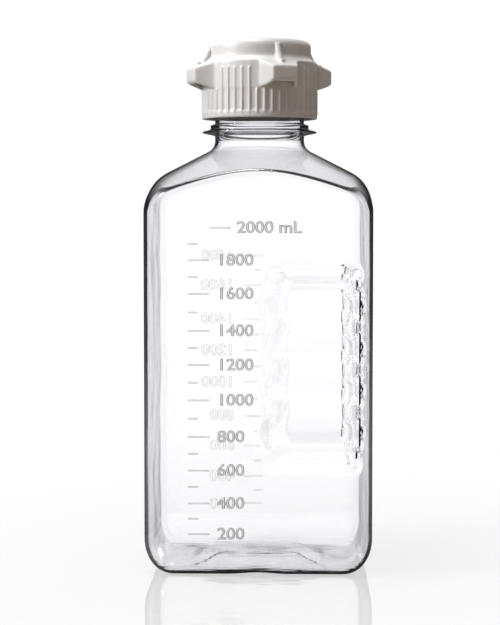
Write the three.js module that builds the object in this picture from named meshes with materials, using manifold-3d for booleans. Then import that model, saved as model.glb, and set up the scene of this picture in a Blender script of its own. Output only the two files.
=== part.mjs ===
// Clear rectangular 2 litre graduated bottle with a hand grip and a four-lugged screw cap.
// Millimetres, +Z up. The bottle rests on z = 0, its axis is the Z axis and its front faces -Y.
import * as THREE from 'three';
import { mergeVertices } from 'three/addons/utils/BufferGeometryUtils.js';
import Module from 'manifold-3d';

// Driving dimensions of the body.
const BODY_WIDTH = 123.5;
const BODY_DEPTH = 100;
const CORNER_RADIUS = 17;
const CORNER_STEPS = 5;
const GRIP_CORNER_STEPS = 7;
const WALL = 1.8;
const BASE_INSET = 14.5;
const BASE_RISE = 19;
const CONTACT_SHARE = 0.88;
const PUSH_UP = 6;
const PUSH_UP_FLAT = 0.5;
const ARCH_HEIGHT = 0.8;
const ARCH_WIDTH = 33;

// The shoulder is a cone of revolution. It meets the front and rear faces in a tight bend, and
// the narrow sides in a full one.
const SHOULDER_SLOPE = THREE.MathUtils.degToRad(27);
const SHOULDER_BLEND = 20;
const SHOULDER_CREASE = 4;
const NECK_RADIUS = 24.6;
const NECK_WALL = 2.2;
const NECK_BLEND = 6.7;
const CONE_TOP = 230.6;

// Neck finish.
const FLANGE_Z = 239.4;
const FLANGE_RADIUS = 31.5;
const FLANGE_TIP = 1;
const FLANGE_HALF = 0.6;
const BEAD_Z = 242.5;
const BEAD_RADIUS = 27.1;
const RIM_Z = 284.6;
const RIM_CHAMFER = 0.8;
const THREAD_PITCH = 6;
const THREAD_TURNS = 2;
const THREAD_ROOT_WIDTH = 3;
const THREAD_CREST_WIDTH = 1.2;
const THREAD_BURIED = 0.6;
const NECK_THREAD_RADIUS = 26.6;
const NECK_THREAD_START = 262.4;
const THREAD_STEP = 10;
const THREAD_FADE_STEPS = 4;

// Hand grip in the front and rear faces.
const GRIP_LEFT = 4;
const GRIP_RIGHT = 55;
const GRIP_BOTTOM = 58;
const GRIP_TOP = 166;
const GRIP_DEPTH = 11;
const GRIP_RAMP = 12;
const GRIP_EDGE = 7;
const FINGER_PITCH = 22.5;
const FINGER_DEPTH = 1.2;
const FINGER_SCALLOP = 1.5;

// Screw cap.
const SKIRT_BOTTOM = 246.6;
const SKIRT_RADIUS = 31.4;
const BAND_RADIUS = 31.8;
const BAND_TOP = 250.3;
const SKIRT_BORE = 29;
const SKIRT_BORE_TOP = 254.3;
const THREAD_BORE = 27.1;
const CROWN_BORE = 25.3;
const CROWN_RADIUS = 28.4;
const CROWN_ROUND = 4;
const CAP_TOP = 289.4;
const CAP_WALL = 2.4;
const EDGE = 0.6;
const LUG_COUNT = 4;
const LUG_TURN = 21.3;
const LUG_RADIUS = 40.2;
const LUG_FACE = 14.3;
const LUG_FLANK = 24;
const LUG_TOP = 273.8;
const LUG_BOTTOM = 265.6;
const LUG_LIP = 1.5;
const LUG_FOOT = 262.4;
const LUG_SHELL = 2;
const RING_TOP = 277.2;
const CROWN_FOOT = 279.7;
const RIBS_PER_LUG = 12;
const TALL_RIBS = 5;
const RIB_WIDTH = 1.4;
const RIB_PROUD = 0.7;
const RIB_CREST = 0.4;
const RIB_BURIED = 1.2;
const RIB_LEAN = 1;
const TALL_RIB_TOP = 274;
const SHORT_RIB_TOP = 263.6;
const GUSSET_WIDTH = 2.6;
const GUSSET_REACH = 37;
const GUSSET_HEEL = 35;
const GUSSET_FOOT = 2.2;
const GUSSET_TOP = 286.4;
const CAP_SEGMENTS = 48;
const CAP_THREAD_CREST = 25.2;

// Sealing liner.
const LINER_RADIUS = 25;
const LINER_THICKNESS = 1.8;
const LINER_EDGE = 0.3;
const GAP = 0.3;

const { clamp, degToRad, lerp, smoothstep } = THREE.MathUtils;
const wasm = await Module();
wasm.setup();

// A closed geometry as a solid that can be joined and cut.
function solidOf(geometry) {
  const bare = new THREE.BufferGeometry();
  bare.setAttribute('position', geometry.getAttribute('position').clone());
  if (geometry.index) bare.setIndex(geometry.index.clone());
  const merged = mergeVertices(bare, 1e-4);
  const index = merged.index.array;
  const triangles = [];
  for (let i = 0; i < index.length; i += 3) {
    const [a, b, c] = index.slice(i, i + 3);
    if (a !== b && b !== c && c !== a) triangles.push(a, b, c);
  }
  return new wasm.Manifold(new wasm.Mesh({
    numProp: 3,
    vertProperties: merged.attributes.position.array,
    triVerts: new Uint32Array(triangles),
  }));
}

function geometryOf(solid) {
  const mesh = solid.getMesh();
  const geometry = new THREE.BufferGeometry();
  geometry.setAttribute('position', new THREE.BufferAttribute(mesh.vertProperties, 3));
  geometry.setIndex(new THREE.BufferAttribute(mesh.triVerts, 1));
  geometry.computeVertexNormals();
  return geometry;
}

// Numbers from start to end in equal steps, leaving the end out.
function steps(start, end, count) {
  return Array.from({ length: count }, (_, i) => lerp(start, end, i / count));
}

// A closed skin over rings of points that all have the same count; a ring of one point is a pole.
function skin(rings) {
  const points = [];
  const starts = rings.map((ring) => {
    points.push(...ring);
    return points.length - ring.length;
  });
  const index = [];
  for (let k = 0; k + 1 < rings.length; k += 1) {
    const count = Math.max(rings[k].length, rings[k + 1].length);
    for (let j = 0; j < count; j += 1) {
      const low = (i) => starts[k] + (i % rings[k].length);
      const high = (i) => starts[k + 1] + (i % rings[k + 1].length);
      if (rings[k].length > 1) index.push(low(j), low(j + 1), high(j + 1));
      if (rings[k + 1].length > 1) index.push(low(j), high(j + 1), high(j));
    }
  }
  const geometry = new THREE.BufferGeometry().setFromPoints(points);
  geometry.setIndex(index);
  return geometry;
}

// A profile of [radius, height] pairs turned about the Z axis, outside going up.
function turned(profile, segments = CAP_SEGMENTS) {
  const points = profile.map(([radius, height]) => new THREE.Vector2(radius, height));
  return solidOf(new THREE.LatheGeometry(points, segments).rotateX(Math.PI / 2));
}

// Columns round the body: where each meets the straight wall, and which way it faces.
function wallColumns() {
  const flatX = BODY_WIDTH / 2 - CORNER_RADIUS;
  const flatY = BODY_DEPTH / 2 - CORNER_RADIUS;
  const grip = [
    ...steps(-flatX, GRIP_LEFT - 1, 3),
    ...steps(GRIP_LEFT - 1, GRIP_LEFT + GRIP_RAMP, 3),
    ...steps(GRIP_LEFT + GRIP_RAMP, GRIP_RIGHT - GRIP_EDGE * 2, 2),
    ...steps(GRIP_RIGHT - GRIP_EDGE * 2, flatX, 2),
  ];
  const columns = grip.map((x) => ({ x, y: -BODY_DEPTH / 2, nx: 0, ny: -1 }));
  const corner = (centreX, centreY, start, count) => {
    for (const angle of steps(start, start + 90, count)) {
      const nx = Math.cos(degToRad(angle));
      const ny = Math.sin(degToRad(angle));
      columns.push({ x: centreX + CORNER_RADIUS * nx, y: centreY + CORNER_RADIUS * ny, nx, ny });
    }
  };
  corner(flatX, -flatY, -90, GRIP_CORNER_STEPS);
  steps(-flatY, flatY, 3).forEach((y) => columns.push({ x: BODY_WIDTH / 2, y, nx: 1, ny: 0 }));
  corner(flatX, flatY, 0, GRIP_CORNER_STEPS);
  const rear = [flatX, ...grip.slice(1).reverse()];
  rear.forEach((x) => columns.push({ x, y: BODY_DEPTH / 2, nx: 0, ny: 1 }));
  corner(-flatX, flatY, 90, CORNER_STEPS);
  steps(flatY, -flatY, 3).forEach((y) => columns.push({ x: -BODY_WIDTH / 2, y, nx: -1, ny: 0 }));
  corner(-flatX, -flatY, 180, CORNER_STEPS);
  return columns;
}

// How deep the hand grip lies below the flat face: four finger channels in a sloped pocket.
function gripDepth(x, z) {
  const finger = -Math.cos((2 * Math.PI * (z - (GRIP_BOTTOM + GRIP_TOP) / 2)) / FINGER_PITCH);
  const left = GRIP_LEFT - FINGER_SCALLOP * finger;
  const across = smoothstep(x, left, left + GRIP_RAMP)
    * (1 - smoothstep(x, GRIP_RIGHT - GRIP_EDGE, GRIP_RIGHT));
  const along = smoothstep(z, GRIP_BOTTOM, GRIP_BOTTOM + GRIP_RAMP)
    * (1 - smoothstep(z, GRIP_TOP - GRIP_RAMP, GRIP_TOP));
  return (GRIP_DEPTH + FINGER_DEPTH * finger) * across * along;
}

// The underside lifts a little between the corners of the front and rear faces.
function archLift(column) {
  const share = clamp((2 * column.x) / ARCH_WIDTH, -1, 1);
  return Math.abs(column.ny) > 0.9 ? ARCH_HEIGHT * Math.cos((share * Math.PI) / 2) ** 2 : 0;
}

// The underside's push-up: flat in the middle, falling to the contact ring.
const pushUp = (share) => PUSH_UP * (1 - smoothstep(share, PUSH_UP_FLAT, CONTACT_SHARE));

// The push-up turns from the contact ring's outline into an ellipse towards the middle.
function baseRings(columns) {
  const halfX = BODY_WIDTH / 2 - BASE_INSET;
  const halfY = BODY_DEPTH / 2 - BASE_INSET;
  const contact = (share, height) => columns.map((c) => {
    const x = c.x - BASE_INSET * c.nx;
    const y = c.y - BASE_INSET * c.ny;
    const round = lerp(1 / Math.hypot(x / halfX, y / halfY), 1, share ** 2);
    return new THREE.Vector3(x * share * round, y * share * round, height + archLift(c) * share);
  });
  const rings = [[new THREE.Vector3(0, 0, PUSH_UP)]];
  const middle = (PUSH_UP_FLAT + CONTACT_SHARE) / 2;
  for (const share of [PUSH_UP_FLAT, middle, CONTACT_SHARE]) {
    rings.push(contact(share, pushUp(share)));
  }
  for (const turn of steps(0, 90, 5)) {
    const inset = BASE_INSET * (1 - Math.sin(degToRad(turn)));
    const height = BASE_RISE * (1 - Math.cos(degToRad(turn)));
    rings.push(columns.map((c) => new THREE.Vector3(
      c.x - inset * c.nx,
      c.y - inset * c.ny,
      height + archLift(c) * (1 - height / BASE_RISE),
    )));
  }
  return rings;
}

function wallRings(columns) {
  const heights = [
    ...steps(BASE_RISE, GRIP_BOTTOM, 2),
    ...steps(GRIP_BOTTOM, GRIP_TOP, 20),
    GRIP_TOP,
    GRIP_TOP + GRIP_RAMP,
  ];
  return heights.map((z) => columns.map((c) => {
    const depth = Math.abs(c.y) > BODY_DEPTH / 4 ? gripDepth(c.x, z) : 0;
    return new THREE.Vector3(c.x, c.y - Math.sign(c.y) * depth, z);
  }));
}

// In each vertical plane through the axis, the wall turns into the cone on an arc.
function shoulderRings(columns) {
  const turn = Math.PI / 2 - SHOULDER_SLOPE;
  return [0, 0.2, 0.4, 0.6, 0.8, 1].map((share) => columns.map((c) => {
    const blend = lerp(SHOULDER_CREASE, SHOULDER_BLEND, c.nx ** 2);
    const reach = Math.hypot(c.x, c.y);
    const meeting = CONE_TOP - (reach - NECK_RADIUS) * Math.tan(SHOULDER_SLOPE);
    const angle = turn * share;
    const radius = reach - blend * (1 - Math.cos(angle));
    const height = meeting - blend * Math.tan(turn / 2) + blend * Math.sin(angle);
    return new THREE.Vector3((c.x / reach) * radius, (c.y / reach) * radius, height);
  }));
}

const circle = (columns, radius, height) => columns.map((c) => {
  const reach = Math.hypot(c.x, c.y);
  return new THREE.Vector3((c.x / reach) * radius, (c.y / reach) * radius, height);
});

// The cone runs into the neck on a hollow arc.
function neckFootRings(columns) {
  const turn = Math.PI / 2 - SHOULDER_SLOPE;
  const tangent = NECK_BLEND * Math.tan(turn / 2);
  return [0, 1 / 3, 2 / 3, 1].map((share) => {
    const angle = turn * (1 - share);
    const radius = NECK_RADIUS + NECK_BLEND * (1 - Math.cos(angle));
    return circle(columns, radius, CONE_TOP + tangent - NECK_BLEND * Math.sin(angle));
  });
}

function finishRings(columns) {
  const profile = [
    [NECK_RADIUS + 2 * FLANGE_TIP, FLANGE_Z - 2 * FLANGE_HALF],
    [FLANGE_RADIUS - FLANGE_TIP, FLANGE_Z - FLANGE_HALF],
    [FLANGE_RADIUS, FLANGE_Z],
    [FLANGE_RADIUS - FLANGE_TIP, FLANGE_Z + FLANGE_HALF],
    [BEAD_RADIUS, FLANGE_Z + 2.5 * FLANGE_HALF],
    [BEAD_RADIUS, BEAD_Z + FLANGE_HALF],
    [NECK_RADIUS, BEAD_Z + 2.5 * FLANGE_HALF],
    [NECK_RADIUS, RIM_Z - RIM_CHAMFER],
    [NECK_RADIUS - RIM_CHAMFER, RIM_Z],
  ];
  return profile.map(([radius, height]) => circle(columns, radius, height));
}

// The outer rings moved in by the wall's thickness, along the surface's own normals.
function offsetInward(rings, distance) {
  const count = rings[1].length;
  const at = (k, j) => rings[k][rings[k].length > 1 ? (j + count) % count : 0];
  return rings.map((ring, k) => ring.map((point, j) => {
    if (ring.length === 1) return point.clone().setZ(point.z + distance);
    const below = at(Math.max(k - 1, 0), j);
    const above = at(Math.min(k + 1, rings.length - 1), j);
    const along = above.clone().sub(below);
    const around = at(k, j + 1).clone().sub(at(k, j - 1));
    const normal = around.cross(along).normalize();
    return point.clone().addScaledVector(normal, -distance);
  }));
}

// A helical ridge from a buried root to its crest, fading into the wall at both ends.
function threadSolid({ root, crest, start, rootWidth, crestWidth }) {
  const count = (THREAD_TURNS * 360) / THREAD_STEP;
  const rings = Array.from({ length: count + 1 }, (_, i) => {
    const angle = degToRad(i * THREAD_STEP);
    const rise = start + (THREAD_PITCH * i * THREAD_STEP) / 360;
    const size = clamp(Math.min(i, count - i) / THREAD_FADE_STEPS, 0.1, 1);
    const tip = lerp(root, crest, size);
    const corners = [[root, rootWidth], [tip, crestWidth], [tip, -crestWidth], [root, -rootWidth]];
    if (crest < root) corners.reverse();
    return corners.map(([radius, width]) => new THREE.Vector3(
      radius * Math.cos(angle),
      radius * Math.sin(angle),
      rise + (width / 2) * lerp(0.5, 1, size),
    ));
  });
  const middle = (ring) => [ring.reduce((sum, p) => sum.add(p), new THREE.Vector3())
    .divideScalar(ring.length)];
  return solidOf(skin([middle(rings[0]), ...rings, middle(rings[count])]));
}

function bottleSolid() {
  const columns = wallColumns();
  const body = [
    ...baseRings(columns),
    ...wallRings(columns),
    ...shoulderRings(columns),
    ...neckFootRings(columns),
  ];
  const inner = offsetInward(body, WALL);
  const neckBore = NECK_RADIUS - NECK_WALL;
  const bore = [
    circle(columns, neckBore, RIM_Z),
    circle(columns, neckBore, FLANGE_Z),
  ];
  const shell = solidOf(skin([
    ...body,
    ...finishRings(columns),
    ...bore,
    ...inner.slice(0, -1).reverse(),
  ]));
  return shell.add(threadSolid({
    root: NECK_RADIUS - THREAD_BURIED,
    crest: NECK_THREAD_RADIUS,
    start: NECK_THREAD_START,
    rootWidth: THREAD_ROOT_WIDTH,
    crestWidth: THREAD_CREST_WIDTH,
  }));
}

// Outline of the cap's grip ring with one lug, shrunk by the shell's thickness when asked.
function lugOutline(shell) {
  const half = LUG_FACE / 2 - shell;
  const face = LUG_RADIUS - shell;
  const edge = Math.atan2(half, face);
  const flank = degToRad(LUG_FLANK) - shell / SKIRT_RADIUS;
  const tip = Math.hypot(half, face);
  const inner = SKIRT_RADIUS - 1;
  const side = [0, 0.2, 0.4, 0.6, 0.8, 1].map((share) => {
    const angle = lerp(edge, flank, share);
    const radius = SKIRT_RADIUS + (tip - SKIRT_RADIUS) * (1 - share) ** 2;
    return new THREE.Vector2(radius * Math.cos(angle), radius * Math.sin(angle));
  });
  side.push(new THREE.Vector2(inner * Math.cos(flank), inner * Math.sin(flank)));
  const mirrored = side.map((p) => new THREE.Vector2(p.x, -p.y)).reverse();
  return new THREE.Shape([...mirrored, ...side]);
}

function prism(shape, bottom, top) {
  const geometry = new THREE.ExtrudeGeometry(shape, { depth: top - bottom, bevelEnabled: false });
  return solidOf(geometry.translate(0, 0, bottom));
}

// One hollow lug at azimuth 0: a plan outline kept between a falling top and a rising foot,
// with a bevelled lower lip.
function lugSolid() {
  const reach = LUG_RADIUS * 1.05;
  const lip = LUG_RADIUS - LUG_LIP;
  const below = 9;
  const slope = (RING_TOP - LUG_TOP) / (LUG_RADIUS - SKIRT_RADIUS);
  const top = (radius, drop) => RING_TOP - drop - slope * (radius - SKIRT_RADIUS);
  const rise = (LUG_BOTTOM - LUG_FOOT) / (LUG_RADIUS - SKIRT_RADIUS);
  const foot = (radius) => LUG_FOOT + rise * (radius - SKIRT_RADIUS) + Math.max(radius - lip, 0);
  const inner = SKIRT_RADIUS - 2;
  const envelope = turned([
    [inner, foot(inner)], [lip, foot(lip)], [reach, foot(reach)], [reach, top(reach, 0)],
    [inner, top(inner, 0)], [inner, foot(inner)],
  ]);
  const hollow = turned([
    [inner, foot(inner) - below], [reach, foot(reach) - below], [reach, top(reach, LUG_SHELL)],
    [inner, top(inner, LUG_SHELL)], [inner, foot(inner) - below],
  ]);
  const block = prism(lugOutline(0), LUG_FOOT - below, CROWN_FOOT).intersect(envelope);
  const pocket = prism(lugOutline(LUG_SHELL), LUG_FOOT - below, CROWN_FOOT).intersect(hollow);
  return block.subtract(pocket);
}

// A gusset from the crown down to the lug's top, with a small square foot.
function gussetSolid() {
  const shape = new THREE.Shape([
    [CROWN_RADIUS - 1, RING_TOP], [GUSSET_REACH, LUG_TOP + 1],
    [GUSSET_REACH, LUG_TOP + 1 + GUSSET_FOOT], [GUSSET_HEEL, LUG_TOP + 1 + GUSSET_FOOT],
    [(GUSSET_HEEL + CROWN_RADIUS) / 2, CROWN_FOOT + EDGE],
    [CROWN_RADIUS + EDGE, GUSSET_TOP], [CROWN_RADIUS - 1, GUSSET_TOP],
  ].map(([x, y]) => new THREE.Vector2(x, y)));
  const geometry = new THREE.ExtrudeGeometry(shape, { depth: GUSSET_WIDTH, bevelEnabled: false });
  return solidOf(geometry.translate(0, 0, -GUSSET_WIDTH / 2).rotateX(Math.PI / 2));
}

// A half-round rib up the skirt, its top leaning back into the wall.
function ribSolid(top) {
  const half = RIB_WIDTH / 2;
  const section = [[-RIB_BURIED, -half], [0, -half], [RIB_PROUD, -half * RIB_CREST],
    [RIB_PROUD, half * RIB_CREST], [0, half], [-RIB_BURIED, half]];
  const ring = (height, proud) => section.map(([outward, side]) => (
    new THREE.Vector3(SKIRT_RADIUS + Math.min(outward, proud), side, height)));
  const cap = (height) => [new THREE.Vector3(SKIRT_RADIUS - RIB_BURIED / 2, 0, height)];
  const foot = BAND_TOP - RIB_BURIED / 2;
  return solidOf(skin([
    cap(foot), ring(foot, RIB_PROUD), ring(top - RIB_LEAN, RIB_PROUD),
    ring(top, -RIB_BURIED / 4), cap(top),
  ]));
}

function capCore() {
  const roundTop = steps(0, 90, 4).map((angle) => [
    CROWN_RADIUS - CROWN_ROUND * (1 - Math.cos(degToRad(angle))),
    CAP_TOP - CROWN_ROUND * (1 - Math.sin(degToRad(angle))),
  ]);
  return turned([
    [SKIRT_BORE, SKIRT_BOTTOM],
    [BAND_RADIUS - EDGE, SKIRT_BOTTOM],
    [BAND_RADIUS, SKIRT_BOTTOM + EDGE],
    [BAND_RADIUS, BAND_TOP - EDGE / 2],
    [SKIRT_RADIUS, BAND_TOP + EDGE / 2],
    [SKIRT_RADIUS, RING_TOP],
    [CROWN_RADIUS + EDGE, CROWN_FOOT - EDGE],
    [CROWN_RADIUS, CROWN_FOOT + EDGE],
    ...roundTop,
    [CROWN_RADIUS - CROWN_ROUND, CAP_TOP],
    [0, CAP_TOP],
    [0, CAP_TOP - CAP_WALL],
    [CROWN_BORE, CAP_TOP - CAP_WALL],
    [CROWN_BORE, RING_TOP + EDGE],
    [THREAD_BORE, RING_TOP - EDGE],
    [THREAD_BORE, SKIRT_BORE_TOP + SKIRT_BORE - THREAD_BORE],
    [SKIRT_BORE, SKIRT_BORE_TOP],
    [SKIRT_BORE, SKIRT_BOTTOM],
  ]);
}

function capSolid() {
  let cap = capCore();
  const lug = lugSolid().add(gussetSolid());
  for (let quarter = 0; quarter < LUG_COUNT; quarter += 1) {
    const azimuth = LUG_TURN - 90 + (360 / LUG_COUNT) * quarter;
    cap = cap.add(lug.rotate([0, 0, azimuth]));
    for (let i = 0; i < RIBS_PER_LUG; i += 1) {
      const turn = (i - (RIBS_PER_LUG - TALL_RIBS) / 2 + 0.5) * (360 / (LUG_COUNT * RIBS_PER_LUG));
      const tall = i >= RIBS_PER_LUG - TALL_RIBS;
      cap = cap.add(ribSolid(tall ? TALL_RIB_TOP : SHORT_RIB_TOP).rotate([0, 0, azimuth + turn]));
    }
  }
  return cap.add(threadSolid({
    root: THREAD_BORE + THREAD_BURIED,
    crest: CAP_THREAD_CREST,
    start: NECK_THREAD_START - THREAD_PITCH / 2,
    rootWidth: THREAD_ROOT_WIDTH,
    crestWidth: THREAD_CREST_WIDTH,
  }));
}

function linerSolid() {
  const top = CAP_TOP - CAP_WALL - GAP;
  const bottom = top - LINER_THICKNESS;
  return turned([
    [0, bottom], [LINER_RADIUS - LINER_EDGE, bottom], [LINER_RADIUS, bottom + LINER_EDGE],
    [LINER_RADIUS, top - LINER_EDGE], [LINER_RADIUS - LINER_EDGE, top], [0, top],
  ]);
}

function piece(name, solid, material) {
  const mesh = new THREE.Mesh(geometryOf(solid), new THREE.MeshStandardMaterial(material));
  mesh.name = name;
  return mesh;
}

const assembly = new THREE.Group();
assembly.name = 'graduated_bottle';
assembly.add(piece('bottle', bottleSolid(), {
  color: 0xf1f1f7, roughness: 0.04, metalness: 0, transparent: true, opacity: 0.3,
}));
assembly.add(piece('screw_cap', capSolid(), { color: 0xb9b2ab, roughness: 0.45, metalness: 0 }));
assembly.add(piece('sealing_liner', linerSolid(), { color: 0xe9e6df, roughness: 0.6, metalness: 0 }));

export default assembly;
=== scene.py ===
"""Clear rectangular 2 litre graduated bottle with a four-lugged screw cap, seen from the front.

Shapes are worked out in millimetres in the part's own frame, +Z up and the front towards -Y, and
become metres when a mesh is made.
"""
import math

import bmesh
import bpy
import numpy as np
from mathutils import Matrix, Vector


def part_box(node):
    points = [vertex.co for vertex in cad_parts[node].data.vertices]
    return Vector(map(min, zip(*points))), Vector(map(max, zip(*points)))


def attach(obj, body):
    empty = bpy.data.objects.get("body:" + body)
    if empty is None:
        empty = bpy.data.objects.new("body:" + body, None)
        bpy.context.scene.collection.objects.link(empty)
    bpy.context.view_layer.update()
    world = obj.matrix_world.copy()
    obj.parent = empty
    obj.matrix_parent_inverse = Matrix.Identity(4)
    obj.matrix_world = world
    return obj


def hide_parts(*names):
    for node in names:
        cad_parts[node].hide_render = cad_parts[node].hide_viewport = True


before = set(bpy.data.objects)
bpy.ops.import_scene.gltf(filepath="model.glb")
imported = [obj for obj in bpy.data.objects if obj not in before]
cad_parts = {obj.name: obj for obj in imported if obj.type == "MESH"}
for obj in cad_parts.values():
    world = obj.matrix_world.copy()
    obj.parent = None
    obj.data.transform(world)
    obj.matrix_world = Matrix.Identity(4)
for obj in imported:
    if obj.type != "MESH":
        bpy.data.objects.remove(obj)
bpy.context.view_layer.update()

import openvdb
from mathutils import Vector, noise

MM = 0.001
bottle_low, bottle_high = (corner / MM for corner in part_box("bottle"))
cap_low, cap_high = (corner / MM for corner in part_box("screw_cap"))
liner_low, liner_high = (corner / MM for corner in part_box("sealing_liner"))

# Body of the bottle.
BODY_WIDTH = bottle_high.x - bottle_low.x
BODY_DEPTH = bottle_high.y - bottle_low.y
CORNER_RADIUS = 17
WALL = 1.8
WALL_UNEVENNESS = 0.12
WALL_SWELLS_PER_MM = 0.045
BASE_INSET = 14.5
BASE_RISE = 19
CONTACT_SHARE = 0.88
PUSH_UP = 6
PUSH_UP_FLAT = 0.5
ARCH_HEIGHT = 0.8
ARCH_WIDTH = 33
STREAKS_BOTTOM = 4
STREAKS_TOP = 34

# Shoulder, neck and finish.
SHOULDER_SLOPE = math.radians(27)
SHOULDER_BLEND = 20
SHOULDER_CREASE = 4
NECK_RADIUS = 24.6
NECK_WALL = 2.2
NECK_BLEND = 6.7
CONE_TOP = 230.6
FLANGE_Z = 239.4
FLANGE_RADIUS = 31.5
BEAD_Z = 242.5
BEAD_RADIUS = 27.1
RIM_Z = bottle_high.z
# Heights along the outline of the flange and the bead, from below, and its roundings.
FLANGE_FOOT = FLANGE_Z - 2.2
FLANGE_ROOT = (NECK_RADIUS + 1.2, FLANGE_Z - 1.6)
FLANGE_TIP_LOW = FLANGE_Z - 0.4
FLANGE_TIP_HIGH = FLANGE_Z + 0.3
BEAD_LOW = FLANGE_Z + 1.5
BEAD_HIGH = BEAD_Z + 0.7
BEAD_HEAD = BEAD_Z + 1.5
FLANGE_ROOT_ROUND = 0.6
FLANGE_TIP_ROUND = 0.25
BEAD_ROUND = 0.5
RIM_OUTER_ROUND = 0.7
RIM_INNER_ROUND = 0.5
THREAD_PITCH = 6
THREAD_TURNS = 2
THREAD_ROOT_WIDTH = 3
THREAD_CREST_WIDTH = 1.2
THREAD_FADE_TURNS = 0.1
NECK_THREAD_RADIUS = 26.6
NECK_THREAD_START = 262.4

# Hand grip in the front and rear faces.
GRIP_LEFT = 4
GRIP_RIGHT = 55
GRIP_BOTTOM = 58
GRIP_TOP = 166
GRIP_DEPTH = 11
GRIP_RAMP = 12
GRIP_EDGE = 7
GRIP_INSIDE_GROWTH = 1.5
FINGER_PITCH = 22.5
FINGER_DEPTH = 1.2
FINGER_SCALLOP = 1.5
RIGHT_SCALLOP = 0.9

# Points round the body and rings up it. Shares run from the middle of the base to its contact ring.
FRONT_POINTS = 56
SIDE_POINTS = 20
CORNER_POINTS = 14
BASE_RING_COUNT = 14
BASE_FIRST_SHARE = 0.04
BASE_LAST_SHARE = 0.95
BASE_EDGE_STEP = 6
WALL_RING_STEP = 1.75
UPPER_WALL_RINGS = 8
SHOULDER_ARC_RINGS = 15
CONE_RINGS = 9
NECK_ARC_RINGS = 9
THREAD_RING_STEP = 0.4

# Raised scales, in millilitres and millimetres.
SCALE_FIRST_Z = 24.1
SCALE_FIRST = 200
SCALE_STEP = 200
SCALE_LAST = 2000
SCALE_RISES = (16.5, 17.6, 18.0, 19.6, 18.8, 18.2, 19.6, 17.8, 17.2)
MARK_PROUD = 0.45
MARK_THICK = 0.8
MARK_BEVEL = 0.15
MARK_TOP_SHARE = 0.7
MARK_TOP_LENGTH_SHARE = 0.985
MARK_BURIED = 0.5
MARK_END_POINTS = 7
MARK_LEFT = -37.1
MAJOR_LENGTH = 11.5
MINOR_LENGTH = 5.5
NUMERAL_LEFT = -21.5
NUMERAL_HEIGHT = 6.2
NUMERAL_FONT_SHARE = 1.4
NUMERAL_STRETCH = 1.12
NUMERAL_BURIED = 0.22
NUMERAL_BEVEL = 0.3
REAR_NUMERAL_BEVEL = 0.16
NUMERAL_SPREAD = 0.17
TOP_MARK_LEFT = -25.6
TOP_NUMERAL_LEFT = -11
REAR_MARK_LEFT = -1.3
REAR_NUMERAL_LEFT = 15.8

# A normal with at least this much Y in it faces the front or the rear.
FACES_FRONT = 0.9
# Material slots for the marks' side walls, and a passing number for the front marks' tops.
FRONT_SIDE_SLOT, REAR_SIDE_SLOT, FRONT_TOP_SLOT = 1, 2, 3
# The front marks' flat tops are rougher and painted darker: face attribute, painted shade as share of
# light let through, added roughness.
MARK_TOPS = "mark_tops"
MARK_TOP_SHADE = (0.6, 0.58, 0.57)
MARK_TOP_ROUGHNESS = 0.32
SHARP_EDGE_DEGREES = 30

# Screw cap.
SKIRT_BOTTOM = cap_low.z
CAP_TOP = cap_high.z
SKIRT_RADIUS = 31.4
BAND_RADIUS = 31.8
BAND_TOP = 250.3
SKIRT_BORE = 29
THREAD_BORE = 27.1
CROWN_BORE = 25.3
CROWN_RADIUS = 28.4
CROWN_ROUND = 4
CAP_WALL = 2.4
CAP_THREAD_CREST = 25.2
LUG_COUNT = 4
LUG_TURN = 21.3
LUG_RADIUS = 40.2
LUG_FACE = 14.3
LUG_FLANK = 24
LUG_TOP = 273.8
LUG_BOTTOM = 265.6
LUG_LIP = 1.5
LUG_FOOT = 262.4
LUG_SHELL = 2
RING_TOP = 277.2
CROWN_FOOT = 279.7
RIB_STEP = 7.5
RIB_SHAPE = 0.75
TALL_RIB_TOP = 274
SHORT_RIB_TOP = 262.3
GUSSET_WIDTH = 2.6
GUSSET_TOP = 286.4
GUSSET_HEAD_RADIUS = 28.9
GUSSET_KNEE = (31.8, CROWN_FOOT + 0.6)
GUSSET_TOE = (34.6, LUG_TOP + 2.2)
GUSSET_BURIED = 1.5
BLOCK_RADIUS = 35.6
BLOCK_HALF_LENGTH = 1.1
BLOCK_HALF_HEIGHT = 1.6
BAND_ROUND = 0.4
CAP_VOXEL = 0.5
SURFACE_ADAPTIVITY = 0.02

# Roundings between the cap's forms.
CROWN_BLEND = 1.2
LUG_BLEND = 0.9
LUG_CORNER = 1.0
LUG_EDGE = 0.8
LUG_FOOT_EDGE = 0.4
HOLLOW_EDGE = 0.3
GUSSET_EDGE = 0.7
GUSSET_BLEND = 0.5
RIB_BLEND = 0.25
BORE_EDGE = 0.5
# The thread's flanks lean, so the radial distance to them is scaled by this share.
THREAD_SLOPE_SHARE = 0.7
FAR_AWAY = 9

# Sealing disc: a shallow ring is pressed in where the rim bears.
LINER_MIDDLE = 0.2
LINER_RING_INNER = 21.6
LINER_RING_OUTER = 24.6
LINER_RING_DEPTH = 0.25
LINER_STEP = 3

# Camera, in metres and degrees.
CAMERA_AZIMUTH = 1.5
CAMERA_PITCH = 3.43
CAMERA_DISTANCE = 1.0
CAMERA_AIM_Z = 0.1396
CAMERA_AIM_SIDE = -0.0053
CAMERA_LENS = 103.4
CAMERA_SENSOR = 36
CAMERA_CLIP = (0.01, 200)

# Plastics: refractive indices, shades, and the clear plastic's colour in depth.
CLEAR_INDEX = 1.57
CAP_INDEX = 1.49
CAP_SHADES = ((0.52, 0.505, 0.495), (0.57, 0.555, 0.545))
LINER_SHADES = ((0.66, 0.64, 0.6), (0.74, 0.72, 0.68))
DEPTH_COLOUR = (0.58, 0.54, 0.8)
DEPTH_DENSITY = 17
STREAK_STRETCH = (0.35, 0.35, 5)
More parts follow.
